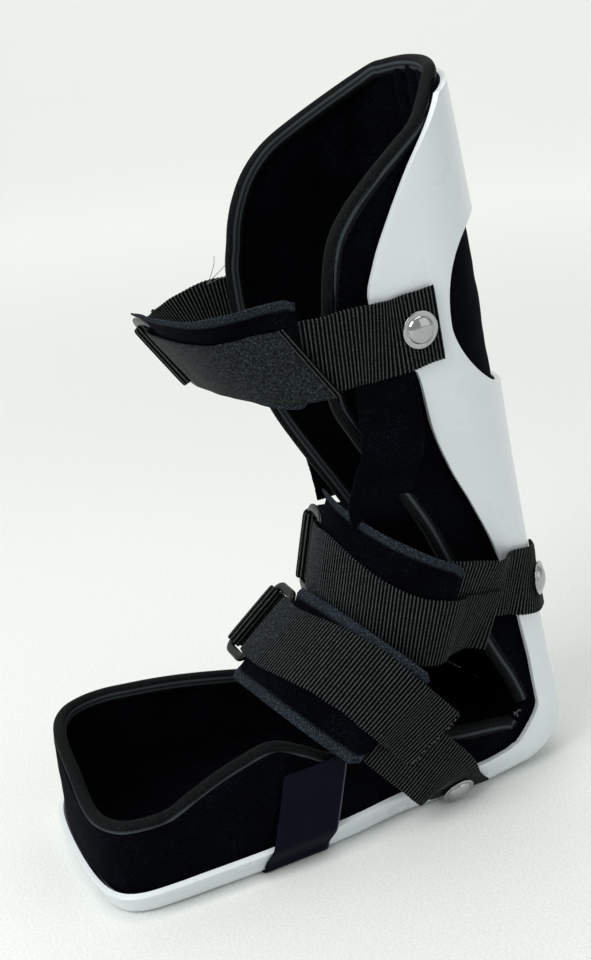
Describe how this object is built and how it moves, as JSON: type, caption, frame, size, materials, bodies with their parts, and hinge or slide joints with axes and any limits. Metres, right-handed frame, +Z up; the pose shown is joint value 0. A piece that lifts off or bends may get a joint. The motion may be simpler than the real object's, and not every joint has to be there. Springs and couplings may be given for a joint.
{
  "type": "plantar fasciitis night splint",
  "caption": "L-shaped plastic boot splint with a padded liner and strap loops that holds a foot at a right angle to the leg overnight.",
  "frame": {"origin": "on the sole's flat underside, on the middle plane, under the middle of the foot", "axes": "+Z up the leg, -Y toward the toe, +X toward the near side of the picture"},
  "size_m": [0.1317, 0.2888, 0.3985],
  "materials": {
    "shell_plastic": "glossy pale grey polypropylene",
    "velour": "brushed loop velour on foam",
    "binding": "folded knit binding tape",
    "webbing": "ribbed webbing",
    "tape": "smooth woven tape",
    "loop_plastic": "glossy black moulding",
    "chrome": "polished"
  },
  "bodies": {
    "root": {"shell": "shell_plastic", "liner_calf": "velour", "liner_foot": "velour", "calf_binding": "binding", "foot_binding": "binding", "side_band_near": "velour", "side_band_far": "velour", "forefoot_tape": "tape", "calf_strap": "webbing", "calf_strap_far": "webbing", "calf_loop": "loop_plastic", "calf_pad": "velour", "calf_rivet_near": "chrome", "calf_rivet_far": "chrome", "ankle_strap": "webbing", "ankle_strap_far": "webbing", "ankle_loop": "loop_plastic", "ankle_pad": "velour", "ankle_rivet_near": "chrome", "ankle_rivet_far": "chrome", "instep_strap": "webbing", "instep_strap_far": "webbing", "instep_loop": "loop_plastic", "instep_pad": "velour", "instep_rivet_near": "chrome", "instep_rivet_far": "chrome"}
  },
  "joints": []
}
